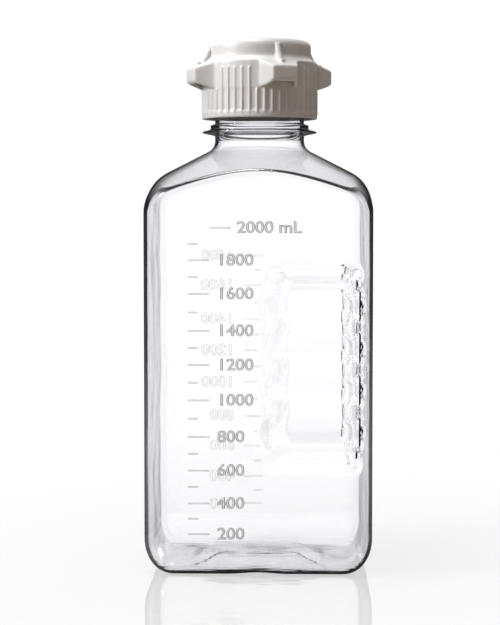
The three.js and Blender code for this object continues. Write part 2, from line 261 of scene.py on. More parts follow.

# Clear plastic on the walls and on the marks' side walls: share of light let through, lowest and
# highest roughness.
WALL_FINISH = ((1, 1, 1), 0.03, 0.05)
# The marks' side walls are painted dark, nearly black in front and grey behind: painted shade that
# draws their outlines.
FRONT_MARK_SHADE_AND_FINISH = ((0.03, 0.03, 0.032), 0.2, 0.35)
REAR_MARK_SHADE_AND_FINISH = ((0.76, 0.76, 0.77), 0.2, 0.35)

# Painted shade on clear plastic, darker where it is turned from the eye: how far it is turned, and the
# share of each colour.
SLANT_SHADE_STOPS = (
    (0.0, (1, 1, 1)),
    (0.15, (0.99, 0.99, 0.992)),
    (0.45, (0.965, 0.965, 0.975)),
    (0.75, (0.935, 0.93, 0.965)),
    (0.93, (0.5, 0.48, 0.58)),
)

# How bright the surroundings are to rays that went straight through, or were trapped in a wall. A ray
# that was turned back once counts as trapped if it crossed at most TRAPPED_CROSSINGS surfaces.
SEEN_THROUGH = 1.15
SEEN_THROUGH_FLOOR = 0.98
SEEN_TRAPPED = 0.01
TRAPPED_CROSSINGS = 3

# Surroundings by reflection: in the bottle they brighten upwards, in the floor they are even.
SEEN_IN_BOTTLE = (0.05, 0.9)
SEEN_IN_BOTTLE_RISE = (0.2, 0.5)
SEEN_IN_FLOOR = 1.0

# Light from the surroundings on matt surfaces, and the backdrop that the camera sees.
LEFT_LIGHT = (0.6, 0.62, 0.72)
RIGHT_LIGHT = (0.25, 0.2, 0.14)
WORLD_LIGHT = 0.52
BACKDROP = 1.02

# Where the lamps point, in metres.
LIGHT_AIM = (0, 0, 0.22)

# Floor: brightness, with a painted shade darker near the bottle, and mirror share by distance from the
# bottle, in metres.
FLOOR_HALF_SIZE = 60
FLOOR_GAP = 0.0001
FLOOR_SHADE_NEAR_FAR = (0.85, 1.02)
FLOOR_FADE = (0.1, 1.2)
FLOOR_SEEN_FADE = (0.2, 2)
FLOOR_IN_BOTTLE = 0.05
FLOOR_LIGHT = 0.36
FLOOR_WARMTH = (1, 0.76, 0.5)
FLOOR_PAINT = (0.1, 0.1, 0.1)
FLOOR_MIRROR = 0.3
FLOOR_MIRROR_FADE = (0.1, 0.5)


# ---------------------------------------------------------------- meshes

def mesh_object(name, points, faces):
    """A mesh object in metres from points in millimetres."""
    mesh = bpy.data.meshes.new(name)
    mesh.from_pydata((np.asarray(points) * MM).tolist(), [], faces)
    mesh.validate()
    mesh.update()
    mesh.shade_smooth()
    made = bpy.data.objects.new(name, mesh)
    bpy.context.scene.collection.objects.link(made)
    return made


def mark_sharp_edges(made, degrees):
    """Edges that turn more than this many degrees keep a crisp shading break."""
    shape = bmesh.new()
    shape.from_mesh(made.data)
    limit = math.radians(degrees)
    for edge in shape.edges:
        edge.smooth = not (edge.is_manifold and edge.calc_face_angle() > limit)
    shape.to_mesh(made.data)
    shape.free()


def apply_modifiers(made):
    """Bakes an object's modifiers into its mesh."""
    evaluated = made.evaluated_get(bpy.context.evaluated_depsgraph_get())
    final = bpy.data.meshes.new_from_object(evaluated)
    made.modifiers.clear()
    made.data = final


def smoothstep(value, low, high):
    """0 below low and 1 above high, with a smooth rise between them."""
    share = np.clip((value - low) / (high - low), 0, 1)
    return share * share * (3 - 2 * share)


# ---------------------------------------------------------------- bottle

def wall_columns():
    """Plan points round the body and their outward normals, counter-clockwise from the front left."""
    flat_x = BODY_WIDTH / 2 - CORNER_RADIUS
    flat_y = BODY_DEPTH / 2 - CORNER_RADIUS
    points, normals = [], []

    def straight(start, end, normal, count):
        for share in np.arange(count) / count:
            points.append(np.array(start) * (1 - share) + np.array(end) * share)
            normals.append(normal)

    def corner(centre, start):
        for angle in np.radians(start + 90 * np.arange(CORNER_POINTS) / CORNER_POINTS):
            normal = np.array((math.cos(angle), math.sin(angle)))
            points.append(np.array(centre) + CORNER_RADIUS * normal)
            normals.append(normal)

    front, side = BODY_DEPTH / 2, BODY_WIDTH / 2
    straight((-flat_x, -front), (flat_x, -front), (0, -1), FRONT_POINTS)
    corner((flat_x, -flat_y), -90)
    straight((side, -flat_y), (side, flat_y), (1, 0), SIDE_POINTS)
    corner((flat_x, flat_y), 0)
    straight((flat_x, front), (-flat_x, front), (0, 1), FRONT_POINTS)
    corner((-flat_x, flat_y), 90)
    straight((-side, flat_y), (-side, -flat_y), (-1, 0), SIDE_POINTS)
    corner((-flat_x, -flat_y), 180)
    return np.array(points), np.array(normals)


def grip_depth(x, z, growth=0):
    """How deep the hand grip lies below the flat face: four finger channels in a sloped pocket."""
    finger = -np.cos(2 * math.pi * (z - (GRIP_BOTTOM + GRIP_TOP) / 2) / FINGER_PITCH)
    left = GRIP_LEFT - FINGER_SCALLOP * finger - growth
    right = GRIP_RIGHT - RIGHT_SCALLOP + RIGHT_SCALLOP * finger + growth
    bottom, top = GRIP_BOTTOM - growth, GRIP_TOP + growth
    across = smoothstep(x, left, left + GRIP_RAMP) * (1 - smoothstep(x, right - GRIP_EDGE, right))
    along = smoothstep(z, bottom, bottom + GRIP_RAMP) * (1 - smoothstep(z, top - GRIP_RAMP, top))
    return (GRIP_DEPTH + FINGER_DEPTH * finger) * across * along


def ring(plan, height):
    """A ring of points from plan points and a height or heights."""
    return np.column_stack([plan, np.broadcast_to(height, len(plan))])


def between(first, last, count):
    """Rings in equal steps from just after first up to just before last."""
    return [first + (last - first) * (i / (count + 1)) for i in range(1, count + 1)]


def base_rings(points, normals):
    """The push-up, the contact ring and the rounded edge, from the middle of the base outwards."""
    facing = np.abs(normals[:, 1]) > FACES_FRONT
    bow = np.clip(2 * points[:, 0] / ARCH_WIDTH, -1, 1)
    arch = np.where(facing, ARCH_HEIGHT * np.cos(bow * math.pi / 2) ** 2, 0)
    contact = points - BASE_INSET * normals
    half = np.array((BODY_WIDTH / 2, BODY_DEPTH / 2)) - BASE_INSET
    ellipse = 1 / np.linalg.norm(contact / half, axis=1)
    shares = (*np.linspace(BASE_FIRST_SHARE, CONTACT_SHARE, BASE_RING_COUNT), BASE_LAST_SHARE)
    rings = []
    for share in shares:
        rise = PUSH_UP * (1 - smoothstep(share, PUSH_UP_FLAT, CONTACT_SHARE))
        rounding = ellipse + (1 - ellipse) * share ** 2
        rings.append(ring(contact * (share * rounding)[:, None], rise + arch * share))
    for turn in np.radians(np.arange(0, 90, BASE_EDGE_STEP)):
        height = BASE_RISE * (1 - math.cos(turn))
        plan = points - BASE_INSET * (1 - math.sin(turn)) * normals
        rings.append(ring(plan, height + arch * (1 - height / BASE_RISE)))
    return rings


def wall_rings(points):
    """The upright wall, from the base's rounded edge to just above the hand grip."""
    return [ring(points, z) for z in np.arange(BASE_RISE, GRIP_TOP + GRIP_RAMP, WALL_RING_STEP)]


def pressed(grid, growth=0):
    """Rings of body points with the hand grip pressed into the front and rear."""
    x, y, z = grid[..., 0], grid[..., 1], grid[..., 2]
    depth = np.where(np.abs(y) > BODY_DEPTH / 4, grip_depth(x, z, growth), 0)
    return np.stack([x, y - np.sign(y) * depth, z], axis=-1)


def shoulder_rings(points, normals):
    """In each vertical plane through the axis, the wall turns into the cone on an arc."""
    reach = np.linalg.norm(points, axis=1)
    blend = SHOULDER_CREASE + (SHOULDER_BLEND - SHOULDER_CREASE) * normals[:, 0] ** 2
    turn = math.pi / 2 - SHOULDER_SLOPE
    start = CONE_TOP - (reach - NECK_RADIUS) * math.tan(SHOULDER_SLOPE)
    start = start - blend * math.tan(turn / 2)
    rings = []
    for angle in np.linspace(0, turn, SHOULDER_ARC_RINGS):
        radius = reach - blend * (1 - math.cos(angle))
        plan = points * (radius / reach)[:, None]
        rings.append(ring(plan, start + blend * math.sin(angle)))
    return rings


def circle(points, radius, height):
    """A round ring with its points in the same directions as the plan points."""
    reach = np.linalg.norm(points, axis=1)
    return ring(points * (radius / reach)[:, None], height)


def neck_foot_rings(points):
    """The cone runs into the neck on a hollow arc."""
    turn = math.pi / 2 - SHOULDER_SLOPE
    top = CONE_TOP + NECK_BLEND * math.tan(turn / 2)
    rings = []
    for angle in np.linspace(turn, 0, NECK_ARC_RINGS):
        radius = NECK_RADIUS + NECK_BLEND * (1 - math.cos(angle))
        rings.append(circle(points, radius, top - NECK_BLEND * math.sin(angle)))
    return rings


def rounded(profile, count=5):
    """A profile of (radius, height, rounding) corners as points, with each corner's arc put in."""
    points = []
    for i, (radius, height, rounding) in enumerate(profile):
        here = np.array((radius, height), float)
        if rounding == 0:
            points.append(here)
            continue
        back = np.array(profile[i - 1][:2]) - here
        on = np.array(profile[i + 1][:2]) - here
        back, on = back / np.linalg.norm(back), on / np.linalg.norm(on)
        half = math.acos(np.clip(back @ on, -1, 1)) / 2
        reach = rounding / math.tan(half)
        start, end = here + back * reach, here + on * reach
        for share in np.linspace(0, 1, count):
            towards_corner = (1 - share) ** 2 * start + 2 * share * (1 - share) * here
            points.append(towards_corner + share ** 2 * end)
    return points


def supported(profile, near=0.25):
    """The profile with points added close to both ends of its long lines, which keeps them flat."""
    points = [profile[0]]
    for end in profile[1:]:
        start = points[-1]
        length = np.linalg.norm(end - start)
        if length > 4 * near:
            points += [start + (end - start) * near / length, end - (end - start) * near / length]
        points.append(end)
    return points


def thread_height(angle, z, root, crest, start):
    """How far a helical thread stands off its wall at an angle and height."""
    along = (z - start) / THREAD_PITCH - angle / (2 * math.pi)
    turn = np.round(along)
    position = turn + angle / (2 * math.pi)
    off = np.abs(along - turn) * THREAD_PITCH
    section = 1 - np.clip((off - THREAD_CREST_WIDTH / 2)
                          / ((THREAD_ROOT_WIDTH - THREAD_CREST_WIDTH) / 2), 0, 1)
    fade_in = smoothstep(position, 0, THREAD_FADE_TURNS)
    fade_out = 1 - smoothstep(position, THREAD_TURNS - THREAD_FADE_TURNS, THREAD_TURNS)
    return (crest - root) * section * (fade_in * fade_out)


def finish_rings(points):
    """The flange, bead, threaded neck and rim, and the bore down to the flange."""
    profile = supported(rounded([
        (NECK_RADIUS, FLANGE_FOOT, 0),
        (*FLANGE_ROOT, FLANGE_ROOT_ROUND),
        (FLANGE_RADIUS, FLANGE_TIP_LOW, FLANGE_TIP_ROUND),
        (FLANGE_RADIUS, FLANGE_TIP_HIGH, FLANGE_TIP_ROUND),
        (BEAD_RADIUS, BEAD_LOW, BEAD_ROUND),
        (BEAD_RADIUS, BEAD_HIGH, BEAD_ROUND),
        (NECK_RADIUS, BEAD_HEAD, BEAD_ROUND),
        (NECK_RADIUS, NECK_THREAD_START - 4, 0),
    ]))
    rings = [circle(points, radius, height) for radius, height in profile]
    angle = np.arctan2(points[:, 1], points[:, 0]) % (2 * math.pi)
    for z in np.arange(NECK_THREAD_START - 3.6, RIM_Z - 1.2, THREAD_RING_STEP):
        proud = thread_height(angle, z, NECK_RADIUS, NECK_THREAD_RADIUS, NECK_THREAD_START)
        rings.append(circle(points, NECK_RADIUS + proud, z))
    bore = NECK_RADIUS - NECK_WALL
    rim = supported(rounded([
        (NECK_RADIUS, RIM_Z - 1.1, 0),
        (NECK_RADIUS, RIM_Z, RIM_OUTER_ROUND),
        (bore, RIM_Z, RIM_INNER_ROUND),
        (bore, RIM_Z - 1, 0),
        (bore, FLANGE_Z + 6, 0),
        (bore, FLANGE_Z, 0),
    ]))
    return rings + [circle(points, radius, height) for radius, height in rim]


def inner_rings(rings):
    """The inside skin: the outside moved in by a wall that is a little uneven, as blown walls are.

    The grip is pressed in afterwards, a little wider than outside, so that no fold forms round it.
    """
    grid = np.array(rings)
    along = np.gradient(grid, axis=0)
    around = np.roll(grid, -1, axis=1) - np.roll(grid, 1, axis=1)
    normal = np.cross(around, along)
    normal /= np.linalg.norm(normal, axis=2, keepdims=True)
    swell = np.array([[noise.noise(Vector(point) * WALL_SWELLS_PER_MM) for point in row]
                      for row in grid.tolist()])
    inside = grid - normal * (WALL + WALL_UNEVENNESS * swell)[:, :, None]
    return list(pressed(inside, GRIP_INSIDE_GROWTH))


def skin(rings, first_pole, last_pole):
    """Points and faces of a closed skin over rings, with one point at each end."""
    points = np.vstack([*rings, [first_pole], [last_pole]])
    count = len(rings[0])
    sides = [(i, (i + 1) % count) for i in range(count)]
    first, last = len(rings) * count, len(rings) * count + 1
    top = first - count
    faces = [(first, b, a) for a, b in sides]
    for low in range(0, top, count):
        high = low + count
        faces += [(low + a, low + b, high + b, high + a) for a, b in sides]
    faces += [(top + a, top + b, last) for a, b in sides]
    return points, faces


def make_bottle():
    """One closed skin: up the outside, over the rim and down the inside."""
    points, normals = wall_columns()
    body = base_rings(points, normals) + wall_rings(points)
    shoulder = shoulder_rings(points, normals)
    body += between(body[-1], shoulder[0], UPPER_WALL_RINGS) + shoulder
    foot = neck_foot_rings(points)
    body += between(shoulder[-1], foot[0], CONE_RINGS) + foot
    # The foot of the bore takes the place of the two highest inside rings.
    inside = inner_rings(body)[-3::-1]
    rings = list(pressed(np.array(body))) + finish_rings(points) + inside
    return mesh_object("bottle_clear", *skin(rings, (0, 0, PUSH_UP), (0, 0, PUSH_UP + WALL)))


# ---------------------------------------------------------------- scales

def scale_height(millilitres):
    """Where the mark for a volume stands."""
    steps = (millilitres - SCALE_FIRST) / SCALE_STEP
    return float(np.interp(steps, range(len(SCALE_RISES) + 1),
                           SCALE_FIRST_Z + np.cumsum([0, *SCALE_RISES])))


def bar(left, z, length):
    """A raised line with round ends, as points and faces."""
    half = MARK_THICK / 2
    outline = [(left + half - half * math.sin(t), half * math.cos(t))
               for t in np.linspace(0, math.pi, MARK_END_POINTS)]
    outline += [(left + length - half + half * math.sin(t), -half * math.cos(t))
                for t in np.linspace(0, math.pi, MARK_END_POINTS)]
    count = len(outline)
    middle = left + length / 2
    front = BODY_DEPTH / 2
    points = [(x, -front + MARK_BURIED, z + up) for x, up in outline]
    points += [(x, -front - MARK_PROUD + MARK_BEVEL, z + up) for x, up in outline]
    points += [(middle + (x - middle) * MARK_TOP_LENGTH_SHARE, -front - MARK_PROUD,
                z + up * MARK_TOP_SHARE) for x, up in outline]
    faces = [tuple(range(count)), tuple(range(3 * count - 1, 2 * count - 1, -1))]
    for level in (0, count):
        faces += [(level + i, level + count + i, level + count + (i + 1) % count,
                   level + (i + 1) % count) for i in range(count)]
    return points, faces


def numeral_mesh(words, left, z, bevel):
    """Raised numerals of the built-in plain face, centred on their mark's height."""
    curve = bpy.data.curves.new("numerals", "FONT")
    curve.body = words
    curve.size = NUMERAL_HEIGHT * NUMERAL_FONT_SHARE * MM
    curve.align_y = "CENTER"
    curve.resolution_u = 4
    curve.extrude = (MARK_PROUD / 2 + NUMERAL_BURIED - bevel) * MM
    curve.bevel_depth = bevel * MM
    curve.bevel_resolution = 0
    curve.offset = (NUMERAL_SPREAD - bevel) * MM
    made = bpy.data.objects.new("numerals", curve)
    bpy.context.scene.collection.objects.link(made)
    made.rotation_euler = (math.pi / 2, 0, 0)
    made.location = (left * MM, (-BODY_DEPTH / 2 - MARK_PROUD / 2 + NUMERAL_BURIED) * MM, z * MM)
    made.scale = (NUMERAL_STRETCH, 1, 1)
    bpy.context.view_layer.update()
    mesh = bpy.data.meshes.new_from_object(
        made.evaluated_get(bpy.context.evaluated_depsgraph_get()))
    mesh.transform(made.matrix_world)
    bpy.data.objects.remove(made)
    return mesh


def make_marks(rear):
    """Every bar and numeral of one face's scale as one mesh object, turned to its face."""
    shape = bmesh.new()
    last = SCALE_LAST - SCALE_STEP if rear else SCALE_LAST
    bevel = REAR_NUMERAL_BEVEL if rear else NUMERAL_BEVEL
    for volume in range(SCALE_FIRST, last + 1, SCALE_STEP // 2):
        z = scale_height(volume)
        major = volume % SCALE_STEP == 0
        left = REAR_MARK_LEFT if rear else MARK_LEFT
        numeral_left = REAR_NUMERAL_LEFT if rear else NUMERAL_LEFT
        words = str(volume)
        if volume == SCALE_LAST:
            left, numeral_left = TOP_MARK_LEFT, TOP_NUMERAL_LEFT
            words += " mL"
        points, faces = bar(left, z, MAJOR_LENGTH if major else MINOR_LENGTH)
        added = [shape.verts.new(np.array(point) * MM) for point in points]
        for face in faces:
            shape.faces.new([added[i] for i in face])
        if major:
            mesh = numeral_mesh(words, numeral_left, z, bevel)
            shape.from_mesh(mesh)
            bpy.data.meshes.remove(mesh)
    bmesh.ops.remove_doubles(shape, verts=shape.verts, dist=1e-6)
    bmesh.ops.recalc_face_normals(shape, faces=shape.faces)
    # Side walls take the slots painted dark, a painted shade that draws the marks' outlines.
    for face in shape.faces:
        if abs(face.normal.y) < FACES_FRONT:
            face.material_index = REAR_SIDE_SLOT if rear else FRONT_SIDE_SLOT
        elif not rear:
            face.material_index = FRONT_TOP_SLOT
    mesh = bpy.data.meshes.new("marks")
    shape.to_mesh(mesh)
    shape.free()
    made = bpy.data.objects.new("marks", mesh)
    bpy.context.scene.collection.objects.link(made)
    if rear:
        made.rotation_euler = (0, 0, math.pi)
    return made


def add_marks(bottle):
    """Joins the raised scales to the bottle's skin, so that it stays one clear moulding."""
    for rear in (False, True):
        marks = make_marks(rear)
        join = bottle.modifiers.new("marks", "BOOLEAN")
        join.operation = "UNION"
        join.solver = "MANIFOLD"
        join.object = marks
        bpy.context.view_layer.update()
        apply_modifiers(bottle)
        bpy.data.objects.remove(marks)
    mark_sharp_edges(bottle, SHARP_EDGE_DEGREES)
    note_mark_tops(bottle.data)


def note_mark_tops(mesh):
    """Turns the tops' slot into a face attribute, because they are the same plastic as the walls."""
    slots = np.zeros(len(mesh.polygons), np.int32)
    mesh.polygons.foreach_get("material_index", slots)
    tops = slots == FRONT_TOP_SLOT
    mesh.attributes.new(MARK_TOPS, "FLOAT", "FACE").data.foreach_set("value", tops.astype(np.float32))
    slots[tops] = 0
    mesh.polygons.foreach_set("material_index", slots)


# ---------------------------------------------------------------- cap

def polygon_distance(x, y, corners):
    """Signed distance from points to a closed outline, negative inside it."""
    best = np.full(x.shape, np.inf, np.float32)
    inside = np.zeros(x.shape, bool)
    for (ax, ay), (bx, by) in zip(corners, [*corners[1:], corners[0]]):
        ex, ey = bx - ax, by - ay
        wx, wy = x - ax, y - ay
        share = np.clip((wx * ex + wy * ey) / (ex * ex + ey * ey), 0, 1)
        best = np.minimum(best, (wx - ex * share) ** 2 + (wy - ey * share) ** 2)
        if ey != 0:
            crosses = (ay > y) != (by > y)
            inside ^= crosses & (x < ex * (y - ay) / ey + ax)
    return np.where(inside, -1, 1) * np.sqrt(best)


def smooth_max(a, b, blend):
    """The larger of two distances, with the corner between them rounded over blend."""
    mix = np.clip(0.5 + 0.5 * (a - b) / blend, 0, 1)
    return b + (a - b) * mix + blend * mix * (1 - mix)


def smooth_min(a, b, blend):
    """The smaller of two distances, with the corner between them filled over blend."""
    return -smooth_max(-a, -b, blend)


def cap_turned_distance(radius, z):
    """The turned outside: skirt, band and ring, then the raised crown."""
    skirt = polygon_distance(radius, z, [
        (0, SKIRT_BOTTOM), (SKIRT_RADIUS, SKIRT_BOTTOM), (SKIRT_RADIUS, RING_TOP),
        (CROWN_RADIUS, CROWN_FOOT), (0, CROWN_FOOT)])
    band_low, band_high = SKIRT_BOTTOM + BAND_ROUND, BAND_TOP - BAND_ROUND / 2
    band = polygon_distance(radius, z, [
        (0, band_low), (BAND_RADIUS - BAND_ROUND, band_low),
        (BAND_RADIUS - BAND_ROUND, band_high), (0, band_high)]) - BAND_ROUND
    crown_low, crown_high = CROWN_FOOT - CROWN_ROUND, CAP_TOP - CROWN_ROUND
    crown = polygon_distance(radius, z, [
        (0, crown_low), (CROWN_RADIUS - CROWN_ROUND, crown_low),
        (CROWN_RADIUS - CROWN_ROUND, crown_high), (0, crown_high)]) - CROWN_ROUND
    crown = np.maximum(crown, radius - CROWN_RADIUS)
    return smooth_min(np.minimum(skirt, band), crown, CROWN_BLEND)


def lug_distance(radius, folded, out, z):
    """A lug with a flat face and hollow flanks in plan, a falling top and a rising foot."""
    reach = math.hypot(LUG_FACE / 2, LUG_RADIUS)
    edge = math.degrees(math.atan2(LUG_FACE / 2, LUG_RADIUS))
    share = np.clip((np.abs(folded) - edge) / (LUG_FLANK - edge), -0.3, 1)
    spread = reach - SKIRT_RADIUS
    flank = SKIRT_RADIUS + spread * (1 - share) ** 2
    steep = 2 * spread * (1 - share) / math.radians(LUG_FLANK - edge) / np.maximum(flank, 1)
    plan = smooth_max((radius - flank) / np.sqrt(1 + steep ** 2), out - LUG_RADIUS, LUG_CORNER)
    fall = (RING_TOP - LUG_TOP) / (LUG_RADIUS - SKIRT_RADIUS)
    top = (z - (RING_TOP - fall * (radius - SKIRT_RADIUS))) / math.hypot(1, fall)
    climb = (LUG_BOTTOM - LUG_FOOT) / (LUG_RADIUS - SKIRT_RADIUS)
    foot = ((LUG_FOOT + climb * (radius - SKIRT_RADIUS)) - z) / math.hypot(1, climb)
    lip = LUG_RADIUS - LUG_LIP
    bevel = (LUG_FOOT + climb * (lip - SKIRT_RADIUS) - z + out - lip) / math.sqrt(2)
    foot = smooth_max(foot, bevel, LUG_EDGE)
    lug = smooth_max(smooth_max(plan, top, LUG_EDGE), foot, LUG_FOOT_EDGE)
    lug = np.maximum(lug, SKIRT_RADIUS - 1 - radius)
    hollow = smooth_max(plan + LUG_SHELL, top + LUG_SHELL, LUG_CORNER)
    hollow = smooth_max(hollow, SKIRT_RADIUS - radius, LUG_EDGE)
    return smooth_max(lug, -hollow, HOLLOW_EDGE)


def gusset_distance(out, side, z):
    """A gusset from the crown down to a lug, ending in a small square block."""
    inner = CROWN_RADIUS - GUSSET_BURIED
    gusset = polygon_distance(out, z, [
        (inner, CROWN_FOOT - 2.5), GUSSET_TOE, GUSSET_KNEE,
        (GUSSET_HEAD_RADIUS, GUSSET_TOP), (inner, GUSSET_TOP)])
    flank = np.abs(side) - GUSSET_WIDTH / 2
    gusset = smooth_max(gusset, flank, GUSSET_EDGE)
    block = np.maximum(np.abs(out - BLOCK_RADIUS) - BLOCK_HALF_LENGTH, flank)
    block = smooth_max(block, np.abs(z - (LUG_TOP + 2)) - BLOCK_HALF_HEIGHT, GUSSET_BLEND)
    return np.minimum(gusset, block)


def rib_distance(radius, folded, z):
    """Half-round ribs: seven short ones under each lug and five tall ones between lugs."""
    rib_turn = (folded + RIB_STEP / 2) % RIB_STEP - RIB_STEP / 2
    across = radius * np.sin(np.radians(rib_turn))
    tall = np.abs(folded) > LUG_FLANK + RIB_STEP / 2
    rib_top = np.where(tall, TALL_RIB_TOP, SHORT_RIB_TOP) - RIB_SHAPE
    over = z - np.clip(z, BAND_TOP - 1, rib_top)
    return np.sqrt((radius - SKIRT_RADIUS) ** 2 + across ** 2 + over ** 2) - RIB_SHAPE


def bore_distance(radius, z):
    """The bore: open skirt, threaded part and the crown's seat for the liner."""
    below, roof = SKIRT_BOTTOM - 5, CAP_TOP - CAP_WALL
    return polygon_distance(radius, z, [
        (0, below), (SKIRT_BORE, below), (SKIRT_BORE, BAND_TOP + 4),
        (THREAD_BORE, BAND_TOP + 6), (THREAD_BORE, RING_TOP - 0.6), (CROWN_BORE, RING_TOP + 0.5),
        (CROWN_BORE, roof), (0, roof)])


def cap_thread_distance(x, y, z, radius):
    """The thread inside the cap, half a pitch below the neck's. Far away where it has no height."""
    angle = np.arctan2(y, x) % (2 * math.pi)
    start = NECK_THREAD_START - THREAD_PITCH / 2
    proud = thread_height(angle, z, THREAD_BORE, CAP_THREAD_CREST, start)
    thread = np.maximum((THREAD_BORE + proud) - radius, radius - THREAD_BORE - 0.5)
    return np.where(proud < 0, thread * THREAD_SLOPE_SHARE, FAR_AWAY)


def cap_distance(x, y, z):
    """Signed distance, in millimetres, to the cap's surface, with its moulded roundings."""
    radius = np.hypot(x, y)
    azimuth = np.degrees(np.arctan2(y, x)) - (LUG_TURN - 90)
    sector = 360 / LUG_COUNT
    folded = (azimuth + sector / 2) % sector - sector / 2
    turn = np.radians(folded)
    out, side = radius * np.cos(turn), radius * np.sin(turn)
    solid = cap_turned_distance(radius, z)
    solid = smooth_min(solid, lug_distance(radius, folded, out, z), LUG_BLEND)
    solid = smooth_min(solid, gusset_distance(out, side, z), GUSSET_BLEND)
    solid = smooth_min(solid, rib_distance(radius, folded, z), RIB_BLEND)
    solid = smooth_max(solid, -bore_distance(radius, z), BORE_EDGE)
    return np.minimum(solid, cap_thread_distance(x, y, z, radius))


def surface_of(name, distance, low, high, voxel):
    """The zero surface of a distance function inside a box, as a mesh object."""
    margin, band = 2 * voxel, 3 * voxel
    low, high = np.array(low) - margin, np.array(high) + margin
    axes = [np.arange(start, end + voxel, voxel, dtype=np.float32) for start, end in zip(low, high)]
    x, y, z = np.meshgrid(*axes, indexing="ij")
    grid = openvdb.FloatGrid(background=band)
    grid.copyFromArray(np.clip(distance(x, y, z), -band, band).astype(np.float32))
    points, triangles, quads = grid.convertToPolygons(isovalue=0, adaptivity=SURFACE_ADAPTIVITY)
    points = points * voxel + low
    faces = [tuple(face) for face in triangles.tolist()] + [tuple(face) for face in quads.tolist()]
    made = mesh_object(name, points, faces)
    shape = bmesh.new()
    shape.from_mesh(made.data)
    if shape.calc_volume(signed=True) < 0:
        bmesh.ops.reverse_faces(shape, faces=shape.faces)
    shape.to_mesh(made.data)
    shape.free()
    return made


def make_cap():
    """The cap as one moulding with its bore and thread."""
    box = ((cap_low.x, cap_low.y, SKIRT_BOTTOM), (cap_high.x, cap_high.y, CAP_TOP))
    return surface_of("screw_cap_moulding", cap_distance, *box, CAP_VOXEL)


# ---------------------------------------------------------------- liner

def make_liner():
    """The sealing disc: a rounded edge and a shallow ring pressed in where the rim bears."""
    edge, low, high = liner_high.x, liner_low.z, liner_high.z
    pressed_in = low + LINER_RING_DEPTH
    profile = rounded([
        (LINER_MIDDLE, low, 0), (LINER_RING_INNER, low, 0.3), (LINER_RING_INNER + 0.6, pressed_in, 0.2),
        (LINER_RING_OUTER - 0.3, pressed_in, 0.2), (LINER_RING_OUTER, low, 0.1), (edge, low, 0.1),
        (edge, high, 0.3), (LINER_MIDDLE, high, 0)])
    angles = np.radians(np.arange(0, 360, LINER_STEP))
    plan = np.column_stack([np.cos(angles), np.sin(angles)])
    rings = [ring(plan * radius, height) for radius, height in profile]
    return mesh_object("sealing_liner_disc", *skin(rings, (0, 0, low), (0, 0, high)))


# ---------------------------------------------------------------- materials

def new_material(name):
    """A material with its nodes, links and main shader."""
    material = bpy.data.materials.new(name)
    material.use_nodes = True
    nodes = material.node_tree.nodes
    return material, nodes, material.node_tree.links, nodes["Principled BSDF"]


def noise_node(nodes, links, scale, detail, roughness, stretch=None):
    """A noise texture in object space; scale is in features per metre, stretch along each axis."""
    coordinates = nodes.new("ShaderNodeTexCoord")
    texture = nodes.new("ShaderNodeTexNoise")
    texture.inputs["Scale"].default_value = scale
    texture.inputs["Detail"].default_value = detail
    texture.inputs["Roughness"].default_value = roughness
    place = coordinates.outputs["Object"]
    if stretch:
        mapping = nodes.new("ShaderNodeMapping")
        mapping.inputs["Scale"].default_value = stretch
        links.new(place, mapping.inputs["Vector"])
        place = mapping.outputs["Vector"]
    links.new(place, texture.inputs["Vector"])
    return texture


def ramp_node(nodes, links, source, stops):
    """A colour ramp over source; stops are (position, colour)."""
    ramp = nodes.new("ShaderNodeValToRGB")
    elements = ramp.color_ramp.elements
    while len(elements) < len(stops):
        elements.new(0.5)
    for element, (position, colour) in zip(elements, stops):
        element.position = position
        element.color = (*colour, 1)
    links.new(source, ramp.inputs["Fac"])
    return ramp


def range_node(nodes, links, source, low, high, start=0, end=1):
    """A number that goes from low to high while source goes from start to end."""
    made = nodes.new("ShaderNodeMapRange")
    made.inputs["From Min"].default_value = start
    made.inputs["From Max"].default_value = end
    made.inputs["To Min"].default_value = low
    made.inputs["To Max"].default_value = high
    links.new(source, made.inputs["Value"])
    return made.outputs["Result"]


def bump_node(nodes, links, source, strength, distance, under=None):
    """A normal bent by the height in source, on top of the normal under it."""
    bump = nodes.new("ShaderNodeBump")
    set_or_link(links, bump.inputs["Strength"], strength)
    bump.inputs["Distance"].default_value = distance
    links.new(source, bump.inputs["Height"])
    if under:
        links.new(under, bump.inputs["Normal"])
    return bump.outputs["Normal"]


def set_or_link(links, socket, value):
    """Gives a socket a plain number, or the output of another node."""
    if isinstance(value, (int, float)):
        socket.default_value = value
    else:
        links.new(value, socket)


def math_node(nodes, links, operation, *values):
    made = nodes.new("ShaderNodeMath")
    made.operation = operation
    for socket, value in zip(made.inputs, values):
        set_or_link(links, socket, value)
    return made.outputs[0]


def mix_values(nodes, links, factor, first, second):
    """first where factor is 0 and second where it is 1."""
    mix = nodes.new("ShaderNodeMix")
    mix.data_type = "FLOAT"
    links.new(factor, mix.inputs["Factor"])
    set_or_link(links, mix.inputs["A"], first)
    set_or_link(links, mix.inputs["B"], second)
    return mix.outputs["Result"]


def colour_mix_node(nodes, links, factor, blend_type="MIX"):
    """A mix of two colours, and its sockets for the first, the second and the result."""
    mix = nodes.new("ShaderNodeMix")
    mix.data_type = "RGBA"
    mix.blend_type = blend_type
    links.new(factor, mix.inputs[0])
    return mix.inputs[6], mix.inputs[7], mix.outputs[2]


